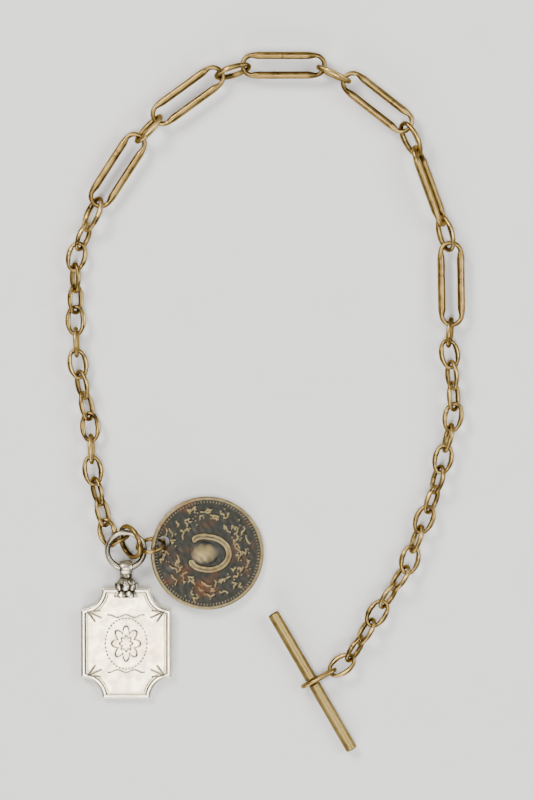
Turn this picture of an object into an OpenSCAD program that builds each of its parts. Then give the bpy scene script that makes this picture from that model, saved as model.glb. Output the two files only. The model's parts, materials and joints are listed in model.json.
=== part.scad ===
// Pocket watch chain with a T-bar at one end, a silver fob and a pierced
// coin at the other, laid out on a flat surface in an open arch.
// Millimetres, +Z up, the surface at Z = 0, the origin in the middle.

/* [Cable links] */
// Outside length of a small cable link
cable_len = 7.8; // [7.6:0.1:8.2]
// Outside width of a small cable link
cable_w = 5.4; // [5.2:0.1:5.6]
// Wire along the sides of a small cable link
cable_wire = 1.35; // [1.25:0.05:1.4]
// Wire round the worn ends of a small cable link
cable_end_wire = 1.1; // [1:0.05:1.2]

/* [Oval connecting links] */
// Outside length of an oval connecting link
oval_len = 9.6; // [9.2:0.1:10]
// Outside width of an oval connecting link
oval_w = 6.4; // [6.2:0.1:6.6]
// Wire along the sides of an oval connecting link
oval_wire = 1.5; // [1.4:0.05:1.6]
// Wire round the worn ends of an oval connecting link
oval_end_wire = 1.2; // [1:0.05:1.3]

/* [Long links] */
// Outside length of a long link
long_len = 21.6; // [20:0.2:23]
// Outside width of a long link
long_w = 6.8; // [6.6:0.1:7]
// Wire along the sides of a long link
long_wire = 1.9; // [1.6:0.1:2]
// Wire round the worn ends of a long link
long_end_wire = 1.3; // [1.1:0.05:1.4]

/* [T-bar] */
// Length of the T-bar
bar_len = 39.4; // [36:0.2:42]
// Diameter of the T-bar
bar_d = 2.85; // [2.8:0.05:3]
// Diameter of the waist that its link sits in
waist_d = 2; // [1.8:0.05:2.1]

/* [Fob] */
// Width of the silver plate
plate_w = 22.4; // [20:0.2:24]
// Height of the silver plate
plate_h = 27.6; // [25:0.2:30]
// Thickness of the silver plate
plate_t = 2; // [1.6:0.1:2.4]
// Radius of the hollowed corners
corner_r = 5.3; // [4:0.1:6]
// Outside diameter of the bow ring
bow_d = 10.6; // [10.4:0.1:11]
// Wire of the bow ring
bow_wire = 1.5; // [1.3:0.05:1.5]

/* [Coin] */
// Diameter of the coin
coin_d = 28.2; // [26:0.2:30]
// Thickness at the rim
coin_t = 1.5; // [1.3:0.1:1.5]
// Diameter of the hole for its ring
coin_hole_d = 3; // [2.9:0.05:3.2]

/* [Hidden] */
$fn = 48;
e = 0.01;

// Clear space left between two wires that hook into each other
hook_gap = 0.1;
// Extra slack between links that are rolled less than a quarter turn apart
roll_slack = 1;
// Extra slack where the chain turns sideways between two rolled links
turn_slack = 1.5;

// A link's sizes: outside length, outside width, wire at the ends,
// wire along the sides and radius of the end bends' centre line
CABLE = [cable_len, cable_w, cable_end_wire, cable_wire, 1.6];
OVAL = [oval_len, oval_w, oval_end_wire, oval_wire, 1.95];
LONG = [long_len, long_w, long_end_wire, long_wire, (long_w - long_wire) / 2];
DROP = [10, 5.2, 1, 1.1, 1.6];
CORNER = [5.9, 5, 1, 1.1, 1.85];
COIN_LINK = [7.6, 6.8, 1, 1.1, 2.4];

// Diameter and wire of the round ring at the fob's corner
ring_d = 9.2;
ring_wire = 1.3;

// The fob's eye, its hole, neck and collar, and how far below the eye
// the collar and the plate begin
eye_d = 4;
eye_w = 3;
eye_hole_d = 2.4;
neck_d = 3;
tier_d = 5;
tier_h = 1.6;
tier_y = 2.2;
base_w = 6.9;
base_t = 5.6;
base_h = 3.4;
plate_y = 5;
fob_lean = 3.7;

// Lean of the coin, propped on its ring
coin_lean = 5.4;

// Each link lies along a heading and a pitch and is rolled about its own
// length: [sizes, heading, pitch, roll], going outwards from the top link
TOP_AT = [4.6, 83.8, 3.5];
TOP = [LONG, 0, 0, 0];
LEFT = [
    [OVAL, 197, 0, -70], [LONG, 216, 0, 0], [OVAL, 227, 0, 70], [LONG, 237, -2, 0],
    [OVAL, 246, -1, 55], [CABLE, 248, 0, 120], [CABLE, 257, -1, 0],
    [CABLE, 271, 0, 65], [CABLE, 270, 0, -50], [CABLE, 271, 0, 15],
    [CABLE, 272, 0, 90], [CABLE, 280, 0, -10], [CABLE, 282, 0, 55],
    [CABLE, 282, 0, -55], [CABLE, 275, 0, 15], [CABLE, 272, 0, 95],
    [CABLE, 278, 0, -10], [CABLE, 284, 0, 60], [CABLE, 284, 0, 125],
    [CABLE, 284, -10, 22]
];
RIGHT = [
    [OVAL, -25, 0, 90], [LONG, -38, 0, 0], [OVAL, -63, 0, 55], [LONG, -70, 0, 110],
    [OVAL, -75, -1, 55], [LONG, -89, -1, 0], [CABLE, -96, 0, 100],
    [CABLE, -80, 0, -5], [CABLE, -85, 0, 60], [CABLE, -87, -1, -55],
    [CABLE, -101, 0, 10], [CABLE, -104, -1, 75], [CABLE, -103, 0, 0],
    [CABLE, -105, 0, 60], [CABLE, -110, 1, 125], [CABLE, -113, 0, 10],
    [CABLE, -110, 1, 70], [CABLE, -105, 0, -5], [CABLE, -124, -1, 60],
    [CABLE, -123, 0, 120], [CABLE, -123, 0, 0], [CABLE, -121, 0, 60],
    [CABLE, -122, -1, -60], [CABLE, -145, -4, 15], [DROP, -152, 0, 90]
];

LEFT_NAMES = [
    "left_oval_1", "left_long_1", "left_oval_2", "left_long_2", "left_oval_3",
    for (i = [1:15]) str("left_cable_", i < 10 ? "0" : "", i)
];
RIGHT_NAMES = [
    "right_oval_1", "right_long_1", "right_oval_2", "right_long_2",
    "right_oval_3", "right_long_3",
    for (i = [1:18]) str("right_cable_", i < 10 ? "0" : "", i),
    "bar_drop_link"
];

BRASS = "#b8965a";
SILVER = "#b9b2a2";
BRONZE = "#6b5a48";

// Half of a link's length, to the centre line of its end bend
function half(s) = (s[0] - s[2]) / 2;

// Direction of a link's length and of the axis square to its flat
function along(l) = [cos(l[2]) * cos(l[1]), cos(l[2]) * sin(l[1]), sin(l[2])];
function square_to(l) =
    let (x = -cos(l[3]) * sin(l[2]), y = -sin(l[3]))
    [x * cos(l[1]) - y * sin(l[1]), x * sin(l[1]) + y * cos(l[1]), cos(l[3]) * cos(l[2])];

// Room between the end bends of two hooked links
function slack(a, b) =
    hook_gap + roll_slack * pow(square_to(a) * square_to(b), 2)
    + turn_slack * norm(cross(along(a), along(b))) * min(abs(sin(a[3])), abs(sin(b[3])));

// Centre of link b, hooked into the far end of link a with its centre at c.
// b swings round the end bend of whichever of the two lies flatter.
function hooked(c, a, b) =
    let (pull = (a[0][2] + b[0][2]) / 2 + slack(a, b))
    abs(cos(a[3])) >= abs(cos(b[3]))
        ? c + along(a) * (half(a[0]) - a[0][4]) + along(b) * (a[0][4] - pull + half(b[0]))
        : c + along(a) * (half(a[0]) - pull + b[0][4]) + along(b) * (half(b[0]) - b[0][4]);

// Centres of all the links of one side, walking outwards from the top link
function centres(first, side, done = []) =
    len(done) == len(side) ? done :
    let (
        n = len(done),
        a = n == 0 ? first : side[n - 1],
        c = n == 0 ? TOP_AT : done[n - 1]
    )
    centres(first, side, concat(done, [hooked(c, a, side[n])]));

LEFT_AT = centres([LONG, 180, 0, 0], LEFT);
RIGHT_AT = centres(TOP, RIGHT);

// The rings at the fob's corner lie heaped on one another, so each is set
// from the last cable link: [sizes, heading, pitch, roll] and its centre
CORNER_LINK = [CORNER, 22, 1, 115];
CORNER_RING = [[ring_d, ring_d, ring_wire], -70, 0, 56];
BOW = [[bow_d, bow_d, bow_wire], 90, 13, 3];
COIN_RING = [COIN_LINK, 8, -2, -59];
LAST_AT = LEFT_AT[len(LEFT_AT) - 1];
CORNER_AT = LAST_AT + [2.85, -1.15, 0.1];
RING_AT = LAST_AT + [5.75, -2.1, 2.35];
BOW_AT = LAST_AT + [4.6, -4.3, 1.8];
COIN_RING_AT = LAST_AT + [10.75, -3.1, 1.25];
COIN_HOLE_AT = LAST_AT + [13.95, -2.3, 0.65];
EYE_AT = BOW_AT - along(BOW) * half(BOW[0]);

// The drop link lies on the surface and the bar rests in it, one end down
DROP_AT = RIGHT_AT[len(RIGHT_AT) - 1];
BAR_AT = DROP_AT + along(RIGHT[len(RIGHT) - 1]) * 1.8 - [0, 0, 0.15];
bar_heading = -60;
bar_lean = 3;

// Part of a ring of round wire
module bend(r, wire, from, to) {
    rotate([0, 0, from]) rotate_extrude(angle = to - from) translate([r, 0]) circle(d = wire);
}

// Closed oval of round wire, tight at its ends and flatter along its sides.
// The thinner end bends run on a little way inside the thicker sides.
module oval_link(s) {
    run_in = 3;
    a = half(s) - s[4];
    b = (s[1] - s[3]) / 2 - s[4];
    reach = (a * a + b * b) / (2 * b);
    turn = acos(a / reach);
    for (way = [0, 180]) rotate([0, 0, way]) {
        translate([a, 0, 0]) bend(s[4], s[2], -turn - run_in, turn + run_in);
        translate([0, b - reach, 0]) bend(s[4] + reach, s[3], turn, 180 - turn);
    }
}

// Straight rod that thins towards both ends
module tapered_rod(length, d, end_d, taper) {
    rotate([0, 90, 0]) rotate_extrude() polygon([
        [0, 0], [end_d / 2, 0], [d / 2, taper],
        [d / 2, length - taper], [end_d / 2, length], [0, length]
    ]);
}

// Long link with straight sides and half-round ends
module long_link(s) {
    taper = 1.8;
    a = half(s) - s[4];
    for (way = [0, 180]) rotate([0, 0, way]) {
        translate([a, 0, 0]) bend(s[4], s[2], -90, 90);
        translate([-a, s[4], 0]) tapered_rod(2 * a, s[3], s[2], taper);
    }
}

// Turns and shifts its children to lie like link l with its centre at c
module lie(l, c) {
    translate(c) rotate([l[3], -l[2], l[1]]) children();
}

// A chain link of either shape at its place
module chain_link(l, c) {
    color(BRASS) lie(l, c)
        if (l[0] == LONG) long_link(l[0]);
        else oval_link(l[0]);
}

// Round ring
module ring(l, c, shade) {
    color(shade) lie(l, c) bend(half(l[0]), l[0][2], 0, 360);
}

// The straight bar that goes through a buttonhole, waisted in the middle
module t_bar() {
    chamfer = 0.3;
    scoop = 1.25;
    color(BRASS) translate(BAR_AT) rotate([0, bar_lean, bar_heading]) rotate([0, 90, 0])
        rotate_extrude() difference() {
            polygon([
                [0, -bar_len / 2], [bar_d / 2 - chamfer, -bar_len / 2],
                [bar_d / 2, chamfer - bar_len / 2], [bar_d / 2, bar_len / 2 - chamfer],
                [bar_d / 2 - chamfer, bar_len / 2], [0, bar_len / 2]
            ]);
            translate([waist_d / 2 + scoop, 0]) circle(r = scoop);
        }
}

// Small edge-on ring between the last cable link and the corner ring
module corner_jump_ring() {
    chain_link(CORNER_LINK, CORNER_AT);
}

// Round ring that gathers the chain and the fob
module corner_ring() {
    ring(CORNER_RING, RING_AT, BRASS);
}

// Round bow that the fob hangs from
module fob_bow() {
    ring(BOW, BOW_AT, SILVER);
}

// Puts its children in the fob's own frame: the eye's centre at the
// origin, the plate towards -Y, the far edge resting on the surface
module fob_frame() {
    translate(EYE_AT) rotate([fob_lean, 0, 0]) children();
}

// The eye for the bow, its neck and the two tiers of the collar, cast in one
module fob_collar() {
    color(SILVER) fob_frame() difference() {
        union() {
            translate([-eye_w / 2, 0, 0]) rotate([0, 90, 0]) cylinder(d = eye_d, h = eye_w);
            rotate([90, 0, 0]) cylinder(d = neck_d, h = tier_y + e);
            translate([0, -tier_y, 0]) rotate([90, 0, 0]) cylinder(d = tier_d, h = tier_h + e);
            translate([0, -tier_y - tier_h, 0]) rotate([90, 0, 0]) linear_extrude(base_h) {
                for (x = [-1, 1]) translate([x * (base_w - base_t) / 2, 0]) circle(d = base_t);
                square([base_w - base_t, base_t], center = true);
            }
        }
        translate([-eye_w, 0, 0]) rotate([0, 90, 0]) cylinder(d = eye_hole_d, h = 2 * eye_w);
        translate([-base_w, -plate_y - plate_h, -plate_t / 2]) cube([2 * base_w, plate_h, plate_t]);
    }
}

// Outline of the plate with its four hollowed corners, drawn in by inset
module plate_outline(inset) {
    difference() {
        square([plate_w - 2 * inset, plate_h - 2 * inset], center = true);
        for (x = [-1, 1], y = [-1, 1])
            translate([x * plate_w / 2, y * plate_h / 2]) circle(r = corner_r + inset);
    }
}

// The silver plate, stepped in round both faces
module fob_plate() {
    step_in = 0.5;
    step_h = 0.3;
    color(SILVER) fob_frame() translate([0, -plate_y - plate_h / 2, -plate_t / 2]) {
        translate([0, 0, step_h]) linear_extrude(plate_t - 2 * step_h) plate_outline(0);
        linear_extrude(plate_t) plate_outline(step_in);
    }
}

// Oval ring through the coin's hole and round the bow
module coin_jump_ring() {
    chain_link(COIN_RING, COIN_RING_AT);
}

// Coin with a raised rim, a horseshoe open to the left and a smooth oval boss
module coin() {
    field_t = coin_t - 0.4;
    rim_w = 1.2;
    hole = [-coin_d * 0.386, coin_d * 0.098];
    shoe_r = 4.6;
    shoe_wire = 1.5;
    shoe_sweep = 140;
    shoe_x = 0.4;
    shoe_up = 0.25;
    color(BRONZE) translate(COIN_HOLE_AT) rotate([0, coin_lean, 0])
        translate([-hole[0], -hole[1], 0]) difference() {
            union() {
                translate([0, 0, -field_t / 2]) cylinder(d = coin_d, h = field_t);
                translate([0, 0, -coin_t / 2]) difference() {
                    cylinder(d = coin_d, h = coin_t);
                    translate([0, 0, -e]) cylinder(d = coin_d - 2 * rim_w, h = coin_t + 2 * e);
                }
                translate([shoe_x, 0, shoe_up]) bend(shoe_r, shoe_wire, -shoe_sweep, shoe_sweep);
                intersection() {
                    translate([-0.8, 0, 0]) linear_extrude(coin_t) {
                        for (x = [-1, 1]) translate([x, 0]) circle(d = 5.6);
                        square([2, 5.6], center = true);
                    }
                    translate([-0.8, 0, -9]) sphere(r = 10);
                }
            }
            translate([hole[0], hole[1], -coin_t]) cylinder(d = coin_hole_d, h = 2 * coin_t);
        }
}

chain_link(TOP, TOP_AT);  // top_long_link
for (i = [0:len(LEFT) - 1])
    chain_link(LEFT[i], LEFT_AT[i]);
for (i = [0:len(RIGHT) - 1])
    chain_link(RIGHT[i], RIGHT_AT[i]);
t_bar();
corner_jump_ring();
corner_ring();
fob_bow();
fob_collar();
fob_plate();
coin_jump_ring();
coin();
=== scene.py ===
"""Looks of a pocket watch chain with a T-bar, a silver fob and a pierced coin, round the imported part."""

import json
import logging
import math
from dataclasses import dataclass
from enum import Enum

import bpy
import numpy as np
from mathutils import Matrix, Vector

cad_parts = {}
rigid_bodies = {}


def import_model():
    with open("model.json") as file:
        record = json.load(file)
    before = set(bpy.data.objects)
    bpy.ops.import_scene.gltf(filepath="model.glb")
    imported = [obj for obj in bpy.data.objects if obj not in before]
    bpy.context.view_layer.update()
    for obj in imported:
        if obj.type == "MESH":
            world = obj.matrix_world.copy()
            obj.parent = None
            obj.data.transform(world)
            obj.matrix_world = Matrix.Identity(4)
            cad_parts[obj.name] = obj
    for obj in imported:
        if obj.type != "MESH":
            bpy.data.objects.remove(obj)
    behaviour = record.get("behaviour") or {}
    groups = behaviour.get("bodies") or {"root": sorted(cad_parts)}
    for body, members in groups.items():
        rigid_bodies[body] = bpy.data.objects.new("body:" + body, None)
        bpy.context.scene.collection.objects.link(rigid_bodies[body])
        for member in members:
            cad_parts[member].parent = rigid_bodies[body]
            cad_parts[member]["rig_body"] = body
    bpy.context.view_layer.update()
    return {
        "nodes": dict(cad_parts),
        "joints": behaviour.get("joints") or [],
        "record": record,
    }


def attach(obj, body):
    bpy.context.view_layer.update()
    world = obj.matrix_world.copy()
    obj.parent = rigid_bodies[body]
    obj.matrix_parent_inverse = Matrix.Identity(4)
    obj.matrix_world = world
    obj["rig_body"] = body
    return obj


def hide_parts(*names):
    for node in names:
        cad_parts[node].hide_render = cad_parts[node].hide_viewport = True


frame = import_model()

MM = 0.001
FULL_TURN = 2 * math.pi
# Point attribute that carries painted shade and highlight together with wear, read by the colour ramp
SHADE_AND_WEAR = "shade_and_wear"

log = logging.getLogger("watch_chain")

Array = np.ndarray
Faces = list[tuple[int, ...]]
Place = tuple[float, float]
Colour = tuple[float, float, float]
Material = bpy.types.Material
Tree = bpy.types.NodeTree
Socket = bpy.types.NodeSocket


class Slot(Enum):
    """The record's material slots."""

    BRASS = "brass"
    SILVER = "silver"
    BRONZE = "bronze"


class Section(Enum):
    """How a wire's sides were filed: number of facets and how flat they are."""

    ROUND = (12, 0.0)
    SOFT = (8, 0.25)
    RIDGED = (6, 0.4)


# ---------------------------------------------------------------- small maths


def ease(low: float, high: float, value: Array) -> Array:
    """Smooth step from 0 below low to 1 above high.

    Args:
        low: Value where the step begins.
        high: Value where it ends.
        value: Values to map.

    Returns:
        The eased share for each value.
    """
    share = np.clip((value - low) / (high - low), 0.0, 1.0)
    return share * share * (3.0 - 2.0 * share)


def ridge(distance: Array, width: float) -> Array:
    """Rounded bump, 1 on its line and fading over width.

    Args:
        distance: Distance from the line.
        width: Distance at which little of the bump is left.

    Returns:
        The bump's share of its full height.
    """
    return np.exp(-((distance / width) ** 2) * 2.0)


def segment_distance(x: Array, y: Array, start: Place, end: Place) -> Array:
    """Distance from points to a straight stroke.

    Args:
        x: Points' first coordinate.
        y: Points' second coordinate.
        start: One end of the stroke.
        end: Its other end.

    Returns:
        The distance of every point.
    """
    dx, dy = end[0] - start[0], end[1] - start[1]
    share = np.clip(((x - start[0]) * dx + (y - start[1]) * dy) / (dx * dx + dy * dy), 0.0, 1.0)
    return np.hypot(x - start[0] - share * dx, y - start[1] - share * dy)


@dataclass(frozen=True)
class Basis:
    """A piece's own frame: its middle and three unit axes, in the row frame, in metres."""

    origin: Array
    along: Array
    across: Array
    up: Array

    def place(self, points: Array) -> Array:
        """Turns local millimetres into the row frame's metres."""
        axes = np.stack([self.along, self.across, self.up])
        return self.origin + points @ axes * MM

    @staticmethod
    def of_node(node: str) -> "Basis":
        """Finds a CAD node's frame from how its surface spreads.

        Args:
            node: Name of the CAD node.

        Returns:
            Basis with along on the longest spread and up on the shortest, pointing up.
        """
        mesh = frame["nodes"][node].data
        mesh.calc_loop_triangles()
        co = np.array([v.co for v in mesh.vertices], float)
        corners = co[np.array([t.vertices for t in mesh.loop_triangles])]
        sides = corners[:, 1:] - corners[:, :1]
        area = np.linalg.norm(np.cross(sides[:, 0], sides[:, 1]), axis=1)
        middle = corners.mean(axis=1)
        centre = (middle * area[:, None]).sum(0) / area.sum()
        offset = middle - centre
        _, axes = np.linalg.eigh((offset * area[:, None]).T @ offset)
        up, along = axes[:, 0], axes[:, 2]
        if up[2] < 0:
            up = -up
        if along[int(np.argmax(np.abs(along)))] < 0:
            along = -along
        across = np.cross(up, along)
        spread = (co - centre) @ np.stack([along, across, up]).T
        shift = (spread.max(0) + spread.min(0)) / 2
        return Basis(centre + shift @ np.stack([along, across, up]), along, across, up)

    def turned(self, along: Array) -> "Basis":
        """Turns the frame about up, so that along points as near the given way as it can.

        Args:
            along: The way to point.

        Returns:
            The turned frame.
        """
        flat = along - self.up * float(along @ self.up)
        flat = flat / np.linalg.norm(flat)
        return Basis(self.origin, flat, np.cross(self.up, flat), self.up)


# ------------------------------------------------------------------- meshes


class MeshMaker:
    """Turns grids of points into smooth meshes that ride on a CAD body."""

    SHARP_ANGLE = math.radians(24)

    @staticmethod
    def grid_faces(
        rows: int, columns: int, loop_rows: bool, loop_columns: bool, first: int = 0
    ) -> Faces:
        """Quads of a grid of points.

        Args:
            rows: Number of rows of points.
            columns: Number of points in a row.
            loop_rows: Whether the last row joins the first.
            loop_columns: Whether each row is a closed loop.
            first: Index of the grid's first point.

        Returns:
            The faces as index tuples.
        """
        row_steps = rows if loop_rows else rows - 1
        column_steps = columns if loop_columns else columns - 1
        faces = []
        for i in range(row_steps):
            a, b = i * columns, ((i + 1) % rows) * columns
            for j in range(column_steps):
                k = (j + 1) % columns
                faces.append((first + a + j, first + a + k, first + b + k, first + b + j))
        return faces

    @classmethod
    def make(
        cls, name: str, points: Array, faces: Faces, shade_and_wear: Array, material: Material
    ) -> bpy.types.Object:
        """Builds one mesh object.

        Args:
            name: Name of the piece.
            points: Its points in the row frame, in metres.
            faces: Its faces.
            shade_and_wear: Colour ramp level of each point, holding painted shade and highlight with wear:
                0 for painted shade in a recess, 1 for a worn edge with a painted highlight.
            material: Its finish.

        Returns:
            The new object.
        """
        mesh = bpy.data.meshes.new(name)
        mesh.from_pydata(points.tolist(), [], faces)
        mesh.validate()
        mesh.update()
        attribute = mesh.attributes.new(SHADE_AND_WEAR, "FLOAT", "POINT")
        attribute.data.foreach_set("value", np.clip(shade_and_wear, 0.0, 1.0).astype(np.float32))
        mesh.polygons.foreach_set("use_smooth", [True] * len(mesh.polygons))
        mesh.set_sharp_from_angle(angle=cls.SHARP_ANGLE)
        mesh.materials.append(material)
        made = bpy.data.objects.new(name, mesh)
        bpy.context.scene.collection.objects.link(made)
        return made

    @staticmethod
    def settle(made: bpy.types.Object, node: str, slot: Slot) -> None:
        """Hides the CAD node that a piece stands for and lets the piece ride on that node's body.

        Args:
            made: The piece.
            node: Name of the CAD node.
            slot: The record's slot for its finish; not used.
        """
        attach(made, frame["nodes"][node]["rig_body"])
        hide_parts(node)


# ------------------------------------------------------------------ finishes


@dataclass(frozen=True)
class Finish:
    """A worn metal and how its surface breaks up.

    Attributes:
        name: The material's name.
        recess_shade_and_patina: Colour at the ramp's foot: painted shade in hollows and on inner faces,
            with the dark patina of the coin's field.
        body: Colour of its plain faces.
        edge: Colour at the ramp's top: rubbed metal, with a painted highlight on ridges and crests.
        glance: Tint of what it mirrors at a glancing angle.
        tint: Colour of its patches of tarnish.
        tint_share: How much of that colour the patches take.
        polish: Roughness where it is brightest.
        haze: Extra roughness where it is dull.
        mottle: How uneven its tarnish is.
        scratch: Depth of its hair scratches.
        grain: Depth of its pitting.
    """

    name: str
    recess_shade_and_patina: Colour
    body: Colour
    edge: Colour
    glance: Colour
    tint: Colour
    tint_share: float
    polish: float
    haze: float
    mottle: float
    scratch: float
    grain: float

    MOTTLE_SCALE = 420.0
    PATCH_SCALE = 140.0
    FINE_SCALE = 2600.0
    HAIR_SCALE = (900.0, 9000.0, 900.0)
    HAIR_TURN = (0.0, 0.0, 0.6)
    # Ramp stops: painted shade in hollows, plain faces, rubbed edges with a painted highlight
    RECESS_AT, BODY_AT, EDGE_AT = 0.12, 0.5, 0.9
    PATCH_RANGE = (0.52, 0.72)
    DULL_RANGE = (0.3, 0.7)
    BUMP_DEPTH = 0.05 * MM

    @staticmethod
    def _noise(tree: Tree, place: Socket, scale: float, detail: float) -> Socket:
        """Adds one noise texture.

        Args:
            tree: The material's nodes.
            place: Coordinates that it is laid out by.
            scale: How many of its features go into a metre.
            detail: How many finer octaves it has.

        Returns:
            The noise, about 0.5 on average.
        """
        noise = tree.nodes.new("ShaderNodeTexNoise")
        noise.inputs["Scale"].default_value = scale
        noise.inputs["Detail"].default_value = detail
        tree.links.new(place, noise.inputs["Vector"])
        return noise.outputs["Fac"]

    @staticmethod
    def _maths(tree: Tree, kind: str, a: Socket, b: "Socket | float") -> Socket:
        """Adds a sum, difference or product of two values.

        Args:
            tree: The material's nodes.
            kind: The node's operation.
            a: The first value.
            b: The second value, or a plain number.

        Returns:
            The result.
        """
        node = tree.nodes.new("ShaderNodeMath")
        node.operation = kind
        tree.links.new(a, node.inputs[0])
        if isinstance(b, float):
            node.inputs[1].default_value = b
        else:
            tree.links.new(b, node.inputs[1])
        return node.outputs["Value"]

    @staticmethod
    def _ranged(tree: Tree, value: Socket, source: Place, target: Place) -> Socket:
        """Maps a value from one range to another.

        Args:
            tree: The material's nodes.
            value: The value.
            source: Its range before.
            target: Its range after.

        Returns:
            The mapped value.
        """
        node = tree.nodes.new("ShaderNodeMapRange")
        limits = zip(("From Min", "From Max", "To Min", "To Max"), (*source, *target))
        for name, limit in limits:
            node.inputs[name].default_value = limit
        tree.links.new(value, node.inputs["Value"])
        return node.outputs["Result"]

    def _colour(self, tree: Tree, place: Socket, mottle: Socket) -> Socket:
        """Colours the metal from painted shade in its recesses to its rubbed edges with painted highlights,
        with patches of tarnish.

        Args:
            tree: The material's nodes.
            place: Object coordinates.
            mottle: Noise that makes the tarnish uneven.

        Returns:
            The colour.
        """
        shade_and_wear = tree.nodes.new("ShaderNodeAttribute")
        shade_and_wear.attribute_name = SHADE_AND_WEAR
        centred = self._maths(tree, "SUBTRACT", mottle, 0.5)
        uneven = self._maths(tree, "MULTIPLY", centred, self.mottle)
        level = self._maths(tree, "ADD", shade_and_wear.outputs["Fac"], uneven)
        ramp = tree.nodes.new("ShaderNodeValToRGB")
        low, high = ramp.color_ramp.elements
        low.position, low.color = self.RECESS_AT, (*self.recess_shade_and_patina, 1.0)
        high.position, high.color = self.EDGE_AT, (*self.edge, 1.0)
        ramp.color_ramp.elements.new(self.BODY_AT).color = (*self.body, 1.0)
        tree.links.new(level, ramp.inputs["Fac"])
        broad = self._noise(tree, place, self.PATCH_SCALE, 3.0)
        mix = tree.nodes.new("ShaderNodeMix")
        mix.data_type = "RGBA"
        mix.inputs["B"].default_value = (*self.tint, 1.0)
        patch = self._ranged(tree, broad, self.PATCH_RANGE, (0.0, self.tint_share))
        tree.links.new(patch, mix.inputs["Factor"])
        tree.links.new(ramp.outputs["Color"], mix.inputs["A"])
        return mix.outputs["Result"]

    def _bump(self, tree: Tree, place: Socket) -> Socket:
        """Raises hair scratches and fine pitting.

        Args:
            tree: The material's nodes.
            place: Object coordinates.

        Returns:
            The bumped normal.
        """
        fine = self._noise(tree, place, self.FINE_SCALE, 3.0)
        stretch = tree.nodes.new("ShaderNodeMapping")
        stretch.inputs["Scale"].default_value = self.HAIR_SCALE
        stretch.inputs["Rotation"].default_value = self.HAIR_TURN
        tree.links.new(place, stretch.inputs["Vector"])
        hair = self._noise(tree, stretch.outputs["Vector"], 1.0, 2.0)
        scored = self._maths(tree, "MULTIPLY", hair, self.scratch)
        pitted = self._maths(tree, "MULTIPLY", fine, self.grain)
        bump = tree.nodes.new("ShaderNodeBump")
        bump.inputs["Distance"].default_value = self.BUMP_DEPTH
        bump.inputs["Strength"].default_value = 1.0
        tree.links.new(self._maths(tree, "ADD", scored, pitted), bump.inputs["Height"])
        return bump.outputs["Normal"]

    def build(self) -> Material:
        """Builds the finish as a node material.

        Returns:
            The material, coloured by painted shade and highlight with wear, mottling and patches, with
            scratches in its surface.
        """
        material = bpy.data.materials.new(self.name)
        material.use_nodes = True
        tree = material.node_tree
        shader = tree.nodes["Principled BSDF"]
        shader.inputs["Metallic"].default_value = 1.0
        shader.inputs["Specular Tint"].default_value = (*self.glance, 1.0)
        place = tree.nodes.new("ShaderNodeTexCoord").outputs["Object"]
        mottle = self._noise(tree, place, self.MOTTLE_SCALE, 5.0)
        dull = self._ranged(tree, mottle, self.DULL_RANGE, (self.polish, self.polish + self.haze))
        tree.links.new(self._colour(tree, place, mottle), shader.inputs["Base Color"])
        tree.links.new(dull, shader.inputs["Roughness"])
        tree.links.new(self._bump(tree, place), shader.inputs["Normal"])
        return material


BRASS = Finish(
    "worn_brass",
    recess_shade_and_patina=(0.028, 0.017, 0.006),
    body=(0.26, 0.17, 0.055),
    edge=(0.72, 0.52, 0.22),
    glance=(0.5, 0.4, 0.24),
    tint=(0.17, 0.095, 0.03),
    tint_share=0.4,
    polish=0.24,
    haze=0.2,
    mottle=0.45,
    scratch=0.35,
    grain=0.3,
)
DULL_BRASS = Finish(
    "dull_brass",
    recess_shade_and_patina=(0.03, 0.02, 0.007),
    body=(0.2, 0.135, 0.042),
    edge=(0.56, 0.42, 0.17),
    glance=(0.36, 0.29, 0.16),
    tint=(0.13, 0.082, 0.026),
    tint_share=0.45,
    polish=0.36,
    haze=0.16,
    mottle=0.3,
    scratch=0.3,
    grain=0.3,
)
SILVER = Finish(
    "scratched_silver",
    recess_shade_and_patina=(0.05, 0.042, 0.03),
    body=(0.7, 0.61, 0.43),
    edge=(0.92, 0.87, 0.74),
    glance=(0.8, 0.76, 0.66),
    tint=(0.6, 0.47, 0.27),
    tint_share=0.5,
    polish=0.28,
    haze=0.14,
    mottle=0.1,
    scratch=0.3,
    grain=0.08,
)
OLD_SILVER = Finish(
    "tarnished_silver",
    recess_shade_and_patina=(0.02, 0.018, 0.014),
    body=(0.33, 0.29, 0.215),
    edge=(0.84, 0.79, 0.66),
    glance=(0.45, 0.42, 0.36),
    tint=(0.2, 0.16, 0.1),
    tint_share=0.5,
    polish=0.24,
    haze=0.16,
    mottle=0.35,
    scratch=0.3,
    grain=0.15,
)
BRONZE = Finish(
    "dark_bronze",
    recess_shade_and_patina=(0.014, 0.0145, 0.013),
    body=(0.052, 0.051, 0.043),
    edge=(0.4, 0.3, 0.125),
    glance=(0.4, 0.36, 0.26),
    tint=(0.14, 0.05, 0.02),
    tint_share=0.6,
    polish=0.38,
    haze=0.18,
    mottle=0.12,
    scratch=0.3,
    grain=0.5,
)


# --------------------------------------------------------------------- links


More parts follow.
